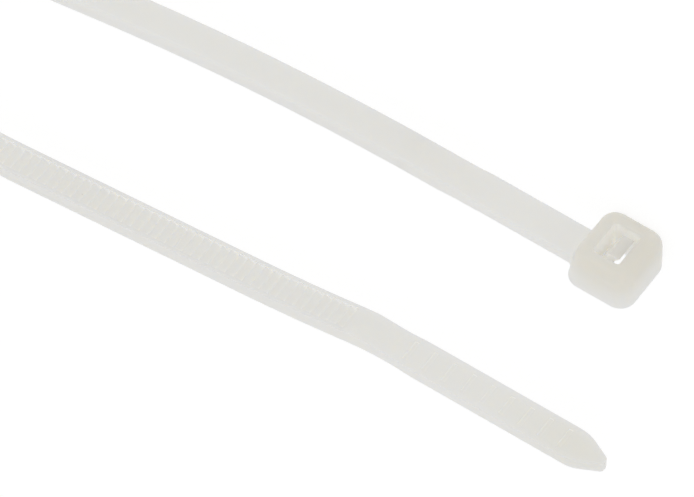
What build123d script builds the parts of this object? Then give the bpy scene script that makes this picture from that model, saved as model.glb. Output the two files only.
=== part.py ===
from build123d import *
import os
from math import atan, cos, degrees, radians, sin, tan

# Miniature nylon cable tie, moulded in one piece and bent into a loose U.
# It lies on its edges. +X points from the loop to the head, +Y from the tail strand to the head
# strand, and +Z is up, across the strap's width. Sizes are in millimetres, turns in degrees.

# Strap section
strap_width = 2.5            # toothed body
strap_thickness = 1.15       # toothed body, over the rails
flat_width = 2.66            # neck and tail
neck_thickness = 0.85
tail_thickness = 0.93
edge_round = 0.12            # outer face, both edges
rail_width = 0.28            # smooth rail on each side of the teeth

# Strap run, measured along its outer face from the head to the tip
neck_length = 7.5
neck_ramp = 3.5
neck_straight = 11.7
sweep_length = 27.5
sweep_turn = 11.5
drop_length = 5.0
shoulder_length = 12.0
shoulder_turn = 14.0
loop_radius = 10.95
return_length = 6.0
return_turn = 9.0
lower_straight = 19.5
lower_heading = 6.7          # of the lower strand, up towards the tail
rise_length = 8.65
rise_turn = 4.6
bend_length = 3.07
tail_length = 17.2

# Teeth in the channel on the inner face
tooth_pitch = 0.71
tooth_depth = 0.22
tooth_land = 0.1             # flat top of a tooth
tooth_lean = 0.05            # of its steep side, which faces the head
crest_drop = 0.08            # of the tooth tops under the rails
channel_gap = 3.0            # of plain strap between the neck's ramp and the first tooth
floor_slack = 0.4            # that the channel's cutter stands above the rails

# Tail grips and tip
tail_ramp_delay = 1.2        # from the start of the bend to the ramp
tail_ramp = 2.4              # from full thickness to the tail's
side_blend = 2.5             # along which the strap widens to the neck or the tail
grip_pitch = 1.57
grip_width = 0.32
grip_depth = 0.06
grip_span = 1.7
tip_arc = 3.2                # radius where the tail's sides turn in towards the tip
tip_angle = 26.5             # of the tip's two straight sides
tip_taper = 2.85             # length of the whole tip, its arc included
tip_corner = 0.35

# Head
head_length = 5.14           # at the base
head_top_length = 4.6
head_top_shift = 0.14        # of the top towards the front, over the base
head_width = 5.4
head_height = 3.1
head_corner = 1.2
head_crown = 1.05            # rounding of the top edge
junction_round = 0.4         # where the neck runs into the head
neck_root = 0.6              # of the strap sunk in the head

# Passage through the head, and its locking pawl
passage_back = -1.05         # wall on the strap's side
passage_corner = 0.2
passage_side_gap = 0.07      # on each side of the tail
passage_strap_gap = 0.05     # beside the strap, with the pawl pushed back to the wall
rim_round = 0.15
pawl_thickness = 0.85        # at its free end
pawl_side_gap = 0.05         # between the pawl and the rails
pawl_slit = 0.21             # from its free end to the front wall, at rest
pawl_recess = 0.2            # of its free end under the head's top
hinge_thickness = 0.55
hinge_height = 0.45
hinge_rise = 0.35            # of the hinge above the head's base
hinge_root = 0.15            # of the hinge sunk in the head's wall
pawl_teeth = 3
pawl_tooth_depth = 0.16
cut_margin = 1.0             # that a cutter stands past what it cuts
tolerance = 0.001            # within which an edge lies on a face or a line

passage_length = pawl_thickness + strap_thickness + passage_strap_gap
passage_width = flat_width + 2 * passage_side_gap
pawl_width = strap_width - 2 * rail_width - 2 * pawl_side_gap

bend_turn = -(lower_heading + rise_turn)
loop_turn = 180 + lower_heading - sweep_turn - shoulder_turn - return_turn
runs = [
    (neck_root + neck_straight, 0.0),
    (sweep_length, sweep_turn),
    (drop_length, 0.0),
    (shoulder_length, shoulder_turn),
    (loop_radius * radians(loop_turn), loop_turn),
    (return_length, return_turn),
    (lower_straight, 0.0),
    (rise_length, rise_turn),
    (bend_length, bend_turn),
    (tail_length, 0.0),
]
strap_length = sum(length for length, turn in runs)
strap_start = Vector(neck_root - head_length / 2, neck_thickness - head_height)

tail_station = strap_length - tail_length
bend_station = tail_station - bend_length
ramp_station = bend_station + tail_ramp_delay
ramp_end = ramp_station + tail_ramp
body_station = neck_root + neck_length + neck_ramp


def place(station, inward):
    """Point at a station on the outer face, moved inward through the strap."""
    corner = strap_start
    heading = radians(180)
    left = station
    for length, turn in runs:
        span = min(left, length)
        swing = radians(turn) * span / length
        ahead = Vector(cos(heading), sin(heading))
        inner = Vector(-sin(heading), cos(heading))
        if turn == 0:
            corner = corner + ahead * span
        else:
            radius = length / radians(turn)
            corner = corner + ahead * radius * sin(swing) + inner * radius * (1 - cos(swing))
        heading += swing
        left -= span
        if left <= 0:
            break
    return corner + Vector(-sin(heading), cos(heading)) * inward


def face_line(first, last, inward):
    """Lines and arcs of the strap's side view, parallel to its outer face."""
    edges = []
    start = 0.0
    for length, turn in runs:
        low = max(first, start)
        high = min(last, start + length)
        start += length
        if high - low < tolerance:
            continue
        if turn == 0:
            edges.append(Line(place(low, inward), place(high, inward)))
        else:
            middle = place((low + high) / 2, inward)
            edges.append(ThreePointArc(place(low, inward), middle, place(high, inward)))
    return edges


def plan_prism(edges, low, high):
    """Solid between two heights Y whose outline, drawn in X and Y, stands in X and Z."""
    flat = extrude(make_face(Wire(edges)), amount=high - low)
    return Pos(0, high, 0) * Rot(90, 0, 0) * flat


def strap_blank():
    """The strap's side view, drawn out to the width of its neck and tail."""
    neck_end = neck_root + neck_length
    edges = face_line(0, strap_length, 0)
    edges.append(Line(place(strap_length, 0), place(strap_length, tail_thickness)))
    edges += face_line(ramp_end, strap_length, tail_thickness)
    edges.append(Line(place(ramp_end, tail_thickness), place(ramp_station, strap_thickness)))
    edges += face_line(body_station, ramp_station, strap_thickness)
    edges.append(Line(place(body_station, strap_thickness), place(neck_end, neck_thickness)))
    edges += face_line(0, neck_end, neck_thickness)
    edges.append(Line(place(0, 0), place(0, neck_thickness)))
    return extrude(make_face(Wire(edges)), amount=flat_width / 2, both=True)


def side_trim(blend_start, low, high):
    """What comes off one side of the strap between the wider stretch and the loop."""
    step = (flat_width - strap_width) / 2
    swing = 2 * degrees(atan(step / side_blend))
    bow = side_blend / 2 / sin(radians(swing))
    far = blend_start - strap_length
    inward = JernArc((blend_start, flat_width / 2), (-1, 0), bow, swing)
    outward = JernArc(inward @ 1, inward % 1, bow, -swing)
    corner = outward @ 1
    edges = [
        inward,
        outward,
        Line(corner, (far, corner.Y)),
        Line((far, corner.Y), (far, flat_width)),
        Line((far, flat_width), (blend_start, flat_width)),
        Line((blend_start, flat_width), (blend_start, flat_width / 2)),
    ]
    side = plan_prism(edges, low, high)
    return side + mirror(side, about=Plane.XY)


def tip_trim():
    """What comes off the end of the tail to leave its tapered, blunt tip."""
    end = place(strap_length, 0)
    half = flat_width / 2
    start = end.X - tip_taper
    side = JernArc((start, half), (1, 0), tip_arc, -tip_angle)
    knee = side @ 1
    nose = knee.Y - (end.X - knee.X) * tan(radians(tip_angle))
    edges = [
        side,
        Line(knee, (end.X, nose)),
        Line((end.X, nose), (end.X, -nose)),
        Line((end.X, -nose), (knee.X, -knee.Y)),
        JernArc((start, -half), (1, 0), tip_arc, tip_angle),
        Line((start, -half), (start, half)),
    ]
    outline = make_face(Wire(edges))
    outline = fillet(outline.vertices().sort_by(Axis.X)[-2:], tip_corner)
    block = Pos(end.X, 0) * Rectangle(2 * tip_taper, 2 * flat_width)
    depth = tail_thickness + 2 * cut_margin
    waste = extrude(block - outline, amount=depth)
    return Pos(0, end.Y - cut_margin + depth, 0) * Rot(90, 0, 0) * waste


def outer_edges(strap):
    """The two long edges of the outer face, from the head to the tip."""
    line = Wire(face_line(0, strap_length, 0))
    found = []
    for edge in strap.edges():
        middle = edge.position_at(0.5)
        along = abs(edge.tangent_at(0.5).Z) < 0.5
        if along and line.distance_to(Vector(middle.X, middle.Y, 0)) < tolerance:
            found.append(edge)
    return found


def tooth_cutter():
    """The channel between the rails, with its saw-tooth floor."""
    crest = strap_thickness - crest_drop
    root = crest - tooth_depth
    first = body_station + channel_gap
    count = int((bend_station - first) / tooth_pitch)
    floor = []
    cover = []
    for index in range(count):
        station = first + index * tooth_pitch
        floor.append(place(station, root))
        floor.append(place(station + tooth_lean, crest))
        floor.append(place(station + tooth_lean + tooth_land, crest))
        cover.append(place(station, strap_thickness + floor_slack))
    end = first + count * tooth_pitch
    floor.append(place(end, root))
    cover.append(place(end, strap_thickness + floor_slack))
    outline = Polyline(*floor, *reversed(cover), close=True)
    return extrude(make_face(outline), amount=strap_width / 2 - rail_width, both=True)


def grip_cutters():
    """Shallow cross grooves on the inner face of the tail."""
    first = ramp_end + grip_pitch / 2
    last = strap_length - tip_taper
    count = int((last - first) / grip_pitch) + 1
    cutters = []
    for index in range(count):
        where = place(first + index * grip_pitch, tail_thickness)
        cutters.append(Pos(where) * Box(grip_width, 2 * grip_depth, grip_span))
    return cutters


def make_strap():
    """The whole strap, from its root in the head to the tip."""
    strap = strap_blank()
    between = -head_height - loop_radius
    below = between - 2 * loop_radius
    neck_side = place(neck_root + neck_length, 0).X
    tail_side = place(tail_station, 0).X + side_blend
    strap -= side_trim(neck_side, between, cut_margin)
    strap -= side_trim(tail_side, below, between)
    strap = fillet(outer_edges(strap), edge_round)
    strap -= tooth_cutter()
    strap -= grip_cutters()
    strap -= tip_trim()
    return strap


def make_head():
    """The head's block: leaning end walls, rounded corners, a soft crown and a flat base."""
    base = head_length / 2
    top = head_top_length / 2
    points = [
        (-base, -head_height),
        (base, -head_height),
        (head_top_shift + top, 0),
        (head_top_shift - top, 0),
    ]
    block = extrude(make_face(Polyline(*points, close=True)), amount=head_width / 2, both=True)
    corners = []
    for edge in block.edges():
        if abs(edge.tangent_at(0.5).Y) > 0.5:
            corners.append(edge)
    block = fillet(corners, head_corner)
    return fillet(block.faces().sort_by(Axis.Y)[-1].edges(), head_crown)


def make_passage():
    """The slot through the head that the tail goes through."""
    slot = RectangleRounded(passage_length, passage_width, passage_corner)
    hole = extrude(slot, amount=head_height + 2 * cut_margin)
    centre = passage_back + passage_length / 2
    return Pos(centre, -head_height - cut_margin, 0) * Rot(-90, 0, 0) * hole


def make_pawl():
    """The locking tongue, hinged low on the strap's side and leaning across the passage."""
    low = hinge_rise - head_height
    waist = low + hinge_height
    top = -pawl_recess
    heel = passage_back + hinge_thickness
    tip = passage_back + passage_length - pawl_slit
    points = [(passage_back - hinge_root, low), (heel, low)]
    for index in range(pawl_teeth):
        foot = index / pawl_teeth
        crest = (index + 1) / pawl_teeth
        foot_x = heel + (tip - heel) * foot - pawl_tooth_depth * min(index, 1)
        points.append((foot_x, waist + (top - waist) * foot))
        points.append((heel + (tip - heel) * crest, waist + (top - waist) * crest))
    points.append((tip - pawl_thickness, top))
    points.append((passage_back, waist))
    points.append((passage_back - hinge_root, waist))
    return extrude(make_face(Polyline(*points, close=True)), amount=pawl_width / 2, both=True)


def junction_edges(body):
    """Where the neck's outer face and sides meet the head's leaning wall."""
    lean = (head_length / 2 - head_top_length / 2 + head_top_shift) / head_height
    found = []
    for edge in body.edges():
        on_wall = True
        for point in (edge @ 0, edge @ 0.5, edge @ 1):
            wall = lean * (point.Y + head_height) - head_length / 2
            on_wall = on_wall and abs(point.X - wall) < tolerance
            on_wall = on_wall and abs(point.Z) < flat_width / 2 + tolerance
        if on_wall and (edge @ 0.5).Y > tolerance - head_height:
            found.append(edge)
    return found


def rim_edges(body):
    """The passage's mouth in the head's top."""
    centre = passage_back + passage_length / 2
    found = []
    for edge in body.edges():
        middle = edge.position_at(0.5)
        within = abs(middle.X - centre) < passage_length / 2 + tolerance
        within = within and abs(middle.Z) < passage_width / 2 + tolerance
        if within and abs(middle.Y) < tolerance:
            found.append(edge)
    return found


def make_tie():
    """Head, strap, passage and pawl as the one moulding."""
    body = make_head() + make_strap()
    body = fillet(junction_edges(body), junction_round)
    body -= make_passage()
    body = fillet(rim_edges(body), rim_round)
    return body + make_pawl()


tie = make_tie()
box = tie.bounding_box()
tie = Pos(-box.center().X, -box.center().Y, -box.min.Z) * tie
os.makedirs("parts", exist_ok=True)
export_step(tie, "parts/cable_tie.step")
print("length along the outer face, with the head", round(strap_length - neck_root + head_length, 1))
print("size", box.size, "solids", len(tie.solids()), "volume", round(tie.volume, 1))
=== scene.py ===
# %% [markdown]
# # A miniature cable tie in natural nylon
# The whole tie is one moulding: a rounded head with a slot and a tongue in it, a thin neck, a strap
# with saw teeth between two rails, and a flat tail with a blunt tip. Every true form is already in
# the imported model, so this script gives it what a hand and an eye notice: soft edges, the cloudy,
# slightly see-through skin of nylon, and plain studio light.
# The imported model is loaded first, because each later place is worked out from it.

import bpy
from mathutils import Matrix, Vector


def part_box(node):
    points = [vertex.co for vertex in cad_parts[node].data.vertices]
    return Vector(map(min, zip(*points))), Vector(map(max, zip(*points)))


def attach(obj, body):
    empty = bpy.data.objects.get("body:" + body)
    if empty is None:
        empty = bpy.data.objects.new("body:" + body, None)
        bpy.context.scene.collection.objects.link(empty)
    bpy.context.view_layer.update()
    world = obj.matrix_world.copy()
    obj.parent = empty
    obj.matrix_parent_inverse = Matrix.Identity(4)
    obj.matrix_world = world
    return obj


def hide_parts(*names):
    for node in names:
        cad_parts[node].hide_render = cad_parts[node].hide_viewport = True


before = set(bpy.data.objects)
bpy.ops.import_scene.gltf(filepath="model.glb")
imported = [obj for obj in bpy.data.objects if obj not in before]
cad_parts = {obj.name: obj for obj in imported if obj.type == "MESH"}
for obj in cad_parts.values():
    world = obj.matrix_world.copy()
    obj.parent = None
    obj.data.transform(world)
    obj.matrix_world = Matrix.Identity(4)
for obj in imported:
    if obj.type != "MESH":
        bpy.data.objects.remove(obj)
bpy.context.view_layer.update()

# %% Names used all through
from math import atan, cos, radians, sin

import bmesh
import bpy
from mathutils import Matrix, Vector

MM = 0.001
NODE = "cable_tie"
BODY = "root"
scene = bpy.context.scene

# %% [markdown]
# ## Places on the tie
# The head stands at the end of the box in +X and its top face is the furthest face in +Y, with the
# middle of its width at half the box's height. The camera and the finish both work from the centre
# of that top face. The head's length comes from the base of its two walls. The tail is the strand
# on the -Y side, so its tip is the furthest point in +X of what lies there.

# %% Find the head and the tip
HEAD_LENGTH = 5.14 * MM
node_low, node_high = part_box(NODE)
head_top = Vector((node_high.x - HEAD_LENGTH / 2, node_high.y, (node_low.z + node_high.z) / 2))
print("centre of the head's top in mm", [round(value / MM, 2) for value in head_top])
places = [vertex.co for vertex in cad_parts[NODE].data.vertices]
tail_end = max(place.x for place in places if place.y < 0)
print("end of the tail in mm", round(tail_end / MM, 2))

# %% [markdown]
# ## Camera
# The tie is looked at from above and from the head's side, with a long lens from far away, so that
# its strands keep their widths from end to end. The camera is made before the surfaces, because it
# tells how fine each detail has to be. Azimuth and elevation turn it about the tie, and roll turns
# the picture about the line of sight. Its axes are built from those three angles. The lens could be
# longer still, but a view that fits the whole tie with the same lens stands farther off, and past a
# hundred times the tie's radius the tie is clipped away. At this distance it stays inside that.

# %% Place the camera
AZIMUTH = 160.65
ELEVATION = 29.65
ROLL = -140.5
DISTANCE = 1.5
VIEW_WIDTH = 46.58 * MM
SENSOR_WIDTH = 36.0
LOOK_RIGHT = -18.15 * MM
LOOK_UP = -0.36 * MM
CLIP_END = 100.0


def camera_axes(azimuth, elevation, roll):
    """Right, up and back vectors of a camera that looks at the tie."""
    turn, tilt, spin = radians(azimuth), radians(elevation), radians(roll)
    back = Vector((sin(turn) * cos(tilt), -cos(turn) * cos(tilt), sin(tilt)))
    level = Vector((cos(turn), sin(turn), 0))
    upright = back.cross(level)
    right = level * cos(spin) + upright * sin(spin)
    return right, back.cross(right), back


right, up, back = camera_axes(AZIMUTH, ELEVATION, ROLL)
print("camera axes", right, up, back)
target = head_top + right * LOOK_RIGHT + up * LOOK_UP
bpy.ops.object.select_all(action="DESELECT")
bpy.ops.object.camera_add(location=target + back * DISTANCE)
camera = bpy.context.object
camera.rotation_euler = Matrix((right, up, back)).transposed().to_euler()
camera.data.sensor_width = SENSOR_WIDTH
camera.data.lens = SENSOR_WIDTH * DISTANCE / VIEW_WIDTH
camera.data.clip_end = CLIP_END
scene.camera = camera
print("lens in mm", round(camera.data.lens), "distance in m", DISTANCE)

# %% [markdown]
# ## The moulding's skin
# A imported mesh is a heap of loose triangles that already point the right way, so each of them would
# shade flat. Modelling the tie again by hand would only lose its true teeth and bends. So the mesh
# is copied, its doubles are merged into one closed skin, and the triangles that lie in one plane
# are dissolved back into whole faces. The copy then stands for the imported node, and that is left
# alone.

# %% Copy and weld the mesh
WELD = 0.001 * MM
FLAT = radians(0.4)
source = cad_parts[NODE]
tie = bpy.data.objects.new("cable_tie_skin", source.data.copy())
scene.collection.objects.link(tie)
tie.data.materials.clear()


def choose(piece):
    """Leave this piece the only one selected, and active."""
    bpy.ops.object.select_all(action="DESELECT")
    piece.select_set(True)
    bpy.context.view_layer.objects.active = piece


choose(tie)
bpy.ops.object.mode_set(mode="EDIT")
bpy.ops.mesh.select_all(action="SELECT")
bpy.ops.mesh.remove_doubles(threshold=WELD)
bpy.ops.mesh.dissolve_limited(angle_limit=FLAT)
bpy.ops.object.mode_set(mode="OBJECT")
print("welded faces", len(tie.data.polygons), "vertices", len(tie.data.vertices))

# %% [markdown]
# Nylon doesn't fill a mould's corners sharply, so even the crispest edge has a tiny round that
# catches light. A Bevel modifier with an angle limit makes it on all edges at once, and is applied.
# Where two edges run almost together it can leave a sliver with no area, and those are dissolved.
# Shading is then smooth, but for edges that are sharper than the same angle.

# %% Soften the edges
EDGE_SOFT = 0.02 * MM
EDGE_SEGMENTS = 2
EDGE_ANGLE = radians(28)
SLIVER = 0.001 * MM


def soften(piece):
    """Give the piece's edges a tiny round, clear the slivers and shade it smooth."""
    choose(piece)
    bevel = piece.modifiers.new("soft_edges", "BEVEL")
    bevel.width = EDGE_SOFT
    bevel.segments = EDGE_SEGMENTS
    bevel.limit_method = "ANGLE"
    bevel.angle_limit = EDGE_ANGLE
    bpy.ops.object.modifier_apply(modifier=bevel.name)
    bpy.ops.object.mode_set(mode="EDIT")
    bpy.ops.mesh.select_all(action="SELECT")
    bpy.ops.mesh.dissolve_degenerate(threshold=SLIVER)
    bpy.ops.object.mode_set(mode="OBJECT")
    bpy.ops.object.shade_smooth_by_angle(angle=EDGE_ANGLE)


def open_edges(piece):
    """Count the edges that don't join exactly two faces."""
    work = bmesh.new()
    work.from_mesh(piece.data)
    count = sum(not edge.is_manifold for edge in work.edges)
    work.free()
    return count


soften(tie)
print("soft faces", len(tie.data.polygons), "open edges", open_edges(tie))

# %% [markdown]
# ## Writing shader maths as plain expressions
# A small class wraps a socket, so that sums on values add the Math nodes by themselves. Any other
# node comes from one method, which takes its type, its settings and the values of its sockets.

# %% A wrapper for sockets


class Value:
    """A node socket that can be added, subtracted and multiplied."""

    def __init__(self, paint, socket):
        self.paint = paint
        self.socket = socket

    def maths(self, operation, first, second):
        """Add a Math node for one operation on two values."""
        return self.paint.node("ShaderNodeMath", {"operation": operation}, {0: first, 1: second})

    def __add__(self, other):
        return self.maths("ADD", self, other)

    def __radd__(self, other):
        return self.maths("ADD", other, self)

    def __sub__(self, other):
        return self.maths("SUBTRACT", self, other)

    def __rsub__(self, other):
        return self.maths("SUBTRACT", other, self)

    def __mul__(self, other):
        return self.maths("MULTIPLY", self, other)

    def __rmul__(self, other):
        return self.maths("MULTIPLY", other, self)


class Paint:
    """A node tree, of a material or of the world, that is built node by node."""

    def __init__(self, owner):
        owner.use_nodes = True
        self.tree = owner.node_tree
        self.tree.nodes.clear()

    def node(self, kind, settings=None, inputs=None, output=0):
        """Add a node, set it up, feed its sockets and hand back one output."""
        made = self.tree.nodes.new(kind)
        for name, value in (settings or {}).items():
            setattr(made, name, value)
        for name, value in (inputs or {}).items():
            if isinstance(value, Value):
                self.tree.links.new(value.socket, made.inputs[name])
            else:
                made.inputs[name].default_value = value
        return Value(self, made.outputs[output]) if made.outputs else None


print("shader helpers ready")

# %% [markdown]
# ## Natural nylon
# Undyed nylon is milky: light goes into it, scatters and comes out again nearby, so a thin strap
# looks paler than the thick head, whose inside takes some of the light and warms it. Subsurface
# scattering gives that softness, with a reach of more than the strap's thickness. The colour is
# carried by Base Color, so that the tie keeps it where scattering isn't drawn. Three helpers serve
# the whole finish: a mix of two colours, a soft step and cloudy noise.

# %% Helpers for the finish
MIX_SHARE, MIX_FIRST, MIX_SECOND, MIX_RESULT = 0, 6, 7, 2


def mix_colors(paint, share, first, second):
    """Colour that goes from the first to the second as share goes from 0 to 1."""
    settings = {"data_type": "RGBA", "clamp_factor": True}
    inputs = {MIX_SHARE: share, MIX_FIRST: first, MIX_SECOND: second}
    return paint.node("ShaderNodeMix", settings, inputs, MIX_RESULT)


def smooth_step(paint, value, low, high):
    """0 below low, 1 above high, and a smooth rise between them."""
    inputs = {"Value": value, "From Min": low, "From Max": high}
    return paint.node("ShaderNodeMapRange", {"interpolation_type": "SMOOTHSTEP"}, inputs)


def noise(paint, place, scale, detail):
    """Cloudy noise between 0 and 1, with so many waves in a metre."""
    inputs = {"Vector": place, "Scale": scale, "Detail": detail}
    return paint.node("ShaderNodeTexNoise", {}, inputs)


print("finish helpers ready")

# %% [markdown]
# ### Where the colour changes
# The head's top is the warmest place, because light goes deepest there, and the thin tip is a shade
# greyer. Each is a share from 0 to 1 that rises along the tie's axes. Object coordinates are in
# metres from the tie's origin, so the places found at the start are used as they are.

# %% Shares of the head's top and of the tip
NECK_FADE = 2.2 * MM
HEAD_FADE = 2.4 * MM
TIP_FADE = 11.0 * MM


def coordinate(paint, place, axis):
    """One of a place's three numbers."""
    return paint.node("ShaderNodeSeparateXYZ", {}, {"Vector": place}, axis)


def head_share(paint, along, over):
    """1 at the head's top, and 0 at its base and on the strap."""
    wall = head_top.x - HEAD_LENGTH / 2
    near_head = smooth_step(paint, along, wall - NECK_FADE, wall + NECK_FADE / 2)
    return near_head * smooth_step(paint, over, head_top.y - HEAD_FADE, head_top.y)


def tip_share(paint, along, over):
    """1 at the tail's tip, fading out along the tail, and 0 on the head's strand."""
    near_tip = smooth_step(paint, along, tail_end - TIP_FADE, tail_end)
    return near_tip * (1 - smooth_step(paint, over, -MM, MM))


print("the tip's shade starts in mm at", round((tail_end - TIP_FADE) / MM, 2))

# %% [markdown]
# ### Light in the slot
# Deep in the slot, light also arrives through the walls, which scattering alone underplays. An
# Ambient Occlusion node finds places that the open sky hardly reaches. They get a paler colour and
# a very faint glow, which stands for that light.

# %% Share of the hollows
HOLLOW_REACH = 2.5 * MM
HOLLOW_START = 0.08
HOLLOW_FULL = 0.75
HOLLOW_RAYS = 8


def painted_light_share(paint):
    """Share of painted light: 0 on open faces, and 1 deep in the slot."""
    settings = {"samples": HOLLOW_RAYS, "only_local": True}
    inputs = {"Distance": HOLLOW_REACH}
    open_share = paint.node("ShaderNodeAmbientOcclusion", settings, inputs, "AO")
    return smooth_step(paint, 1 - open_share, HOLLOW_START, HOLLOW_FULL)


print("hollows are looked for within mm", round(HOLLOW_REACH / MM, 2))

# %% [markdown]
# ### A fleck
# A speck of burnt nylon sits in the skin of the toothed strand. It is a small ball of another
# colour round one place on the tie, so it stays there from every side.

# %% Share of the fleck
FLECK = Vector((-11.37, -13.57, 2.89)) * MM
FLECK_RADIUS = 0.11 * MM


def fleck_share(paint, place):
    """1 in the middle of the dark fleck, and 0 outside it."""
    apart = {0: place, 1: FLECK}
    distance = paint.node("ShaderNodeVectorMath", {"operation": "DISTANCE"}, apart, "Value")
    return 1 - smooth_step(paint, distance, FLECK_RADIUS / 2, FLECK_RADIUS)


print("fleck's width in mm", round(2 * FLECK_RADIUS / MM, 2))

# %% [markdown]
# ### The finish itself
# Faint clouds move the colour and the roughness a little, as they do in a natural moulding, and a
# grain much finer than the teeth breaks up the gloss. Whatever is the same all over is set on the
# shader's own socket.

# %% Colours of the nylon
STRAP_COLOR = (0.843, 0.834, 0.790, 1)
HEAD_COLOR = (0.775, 0.748, 0.680, 1)
TIP_COLOR = (0.790, 0.780, 0.725, 1)
# Painted light: a paler colour for the slot and other hollows, standing in for light through the
# walls.
PAINTED_LIGHT_COLOR = (0.950, 0.935, 0.890, 1)
FLECK_COLOR = (0.64, 0.62, 0.58, 1)
DARK = (0, 0, 0, 1)
# Painted glow: a faint emission in the slot and other hollows, though the nylon is no lamp.
PAINTED_GLOW = (0.066, 0.063, 0.056, 1)
print("strap and head colours", STRAP_COLOR[:3], HEAD_COLOR[:3])

# %% Make the nylon
CLOUD_SCALE, CLOUD_DETAIL, CLOUD_SHARE = 180.0, 2.0, 0.06
GRAIN_SCALE, GRAIN_DETAIL = 6000.0, 3.0
GRAIN_STRENGTH, GRAIN_HEIGHT = 0.05, 0.02 * MM
ROUGHNESS, ROUGHNESS_SWING = 0.40, 0.12
REFRACTION = 1.53
SCATTER_REACH = 3.0 * MM
SCATTER_BY_COLOR = (1.0, 0.9, 0.75)


def nylon_color(paint, place, cloud, painted_light):
    """The strap's colour, changed at the head, the tip and the fleck, with painted light in the slot.
    """
    along, over = coordinate(paint, place, "X"), coordinate(paint, place, "Y")
    thick = head_share(paint, along, over) + (cloud - 0.5) * CLOUD_SHARE
    color = mix_colors(paint, thick, STRAP_COLOR, HEAD_COLOR)
    color = mix_colors(paint, tip_share(paint, along, over), color, TIP_COLOR)
    # Painted light: the slot and other hollows are mixed to a paler colour.
    color = mix_colors(paint, painted_light, color, PAINTED_LIGHT_COLOR)
    return mix_colors(paint, fleck_share(paint, place), color, FLECK_COLOR)


def make_nylon():
    """Milky undyed nylon, warmer at the head's top, greyer at the tip, with painted light in the
    slot: a paler colour and a faint glow.
    """
    material = bpy.data.materials.new("natural_nylon")
    paint = Paint(material)
    place = paint.node("ShaderNodeTexCoord", output="Object")
    cloud = noise(paint, place, CLOUD_SCALE, CLOUD_DETAIL)
    grain = noise(paint, place, GRAIN_SCALE, GRAIN_DETAIL)
    painted_light = painted_light_share(paint)
    relief = {"Strength": GRAIN_STRENGTH, "Distance": GRAIN_HEIGHT, "Height": grain}
    surface = {
        "Base Color": nylon_color(paint, place, cloud, painted_light),
        "Roughness": ROUGHNESS + cloud * ROUGHNESS_SWING,
        "Normal": paint.node("ShaderNodeBump", {}, relief),
        "IOR": REFRACTION,
        # Painted glow in the slot and other hollows.
        "Emission Color": mix_colors(paint, painted_light, DARK, PAINTED_GLOW),
        "Emission Strength": 1.0,
        "Subsurface Weight": 1.0,
        "Subsurface Radius": SCATTER_BY_COLOR,
        "Subsurface Scale": SCATTER_REACH,
    }
    shader = paint.node("ShaderNodeBsdfPrincipled", {}, surface)
    paint.node("ShaderNodeOutputMaterial", {}, {"Surface": shader})
    return material


nylon = make_nylon()
tie.data.materials.append(nylon)
print("nodes in the nylon", len(nylon.node_tree.nodes))

# %% [markdown]
# ## Stage
# The tie lies on a wide white floor under an even white sky, with one large soft lamp on the side
# of the head's top, and its shadow is faint. The floor gives some light of its own, as a light
# table does, because light from below keeps the lower edges of such a thin thing pale. What the eye
# sees of the floor and the sky is plain white, by Light Path, and the tie is lit at a plain level.

# %% Floor
FLOOR_SIZE = 12.0
FLOOR_COLOR = (0.32, 0.32, 0.32, 1)
FLOOR_LIGHT = 0.52
FLOOR_SEEN = 0.77


def eye_rays(paint):
    """1 for a ray from the eye, also by way of gloss or glass, and 0 for a ray of light."""
    direct = paint.node("ShaderNodeLightPath", output="Is Camera Ray")
    gloss = paint.node("ShaderNodeLightPath", output="Is Glossy Ray")
    glass = paint.node("ShaderNodeLightPath", output="Is Transmission Ray")
    either = direct.maths("MAXIMUM", direct, gloss)
    return direct.maths("MAXIMUM", either, glass)


def make_floor_finish():
    """White to the eye but for a faint shadow, and a plain pale surface to the light."""
    material = bpy.data.materials.new("white_floor")
    paint = Paint(material)
    matt = paint.node("ShaderNodeBsdfDiffuse", {}, {"Color": FLOOR_COLOR})
    strength = FLOOR_LIGHT + eye_rays(paint) * (FLOOR_SEEN - FLOOR_LIGHT)
    glow = paint.node("ShaderNodeEmission", {}, {"Strength": strength})
    shader = paint.node("ShaderNodeAddShader", {}, {0: matt, 1: glow})
    paint.node("ShaderNodeOutputMaterial", {}, {"Surface": shader})
    return material


bpy.ops.object.select_all(action="DESELECT")
bpy.ops.mesh.primitive_plane_add(size=FLOOR_SIZE, location=(0, 0, node_low.z))
floor = bpy.context.object
floor.name = "floor"
floor.data.materials.append(make_floor_finish())
print("floor of", FLOOR_SIZE, "m at", node_low.z)

# %% Sky and lamp
SKY_LIGHT = 0.74
SKY_SEEN = 1.0
SKY_COLOR = (1, 1, 1, 1)
LAMP_SIZE = 0.7
LAMP_HEIGHT = 0.45
LAMP_FORWARD = 0.85
LAMP_POWER = 0.5


def make_sky():
    """An even sky that lights the tie gently and is plain white to the eye."""
    sky = bpy.data.worlds.new("white_sky")
    paint = Paint(sky)
    strength = SKY_LIGHT + eye_rays(paint) * (SKY_SEEN - SKY_LIGHT)
    shader = paint.node("ShaderNodeBackground", {}, {"Color": SKY_COLOR, "Strength": strength})
    paint.node("ShaderNodeOutputWorld", {}, {"Surface": shader})
    return sky


scene.world = make_sky()
bpy.ops.object.light_add(type="AREA", location=(0, LAMP_FORWARD, LAMP_HEIGHT))
lamp = bpy.context.object
lamp.name = "soft_lamp"
lamp.data.size = LAMP_SIZE
lamp.data.energy = LAMP_POWER
lamp.rotation_euler = (-atan(LAMP_FORWARD / LAMP_HEIGHT), 0, 0)
scene.view_settings.view_transform = "Standard"
print("lamp power in W", lamp.data.energy)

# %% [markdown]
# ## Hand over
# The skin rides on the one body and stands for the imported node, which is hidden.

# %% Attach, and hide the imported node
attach(tie, BODY)
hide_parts(NODE)
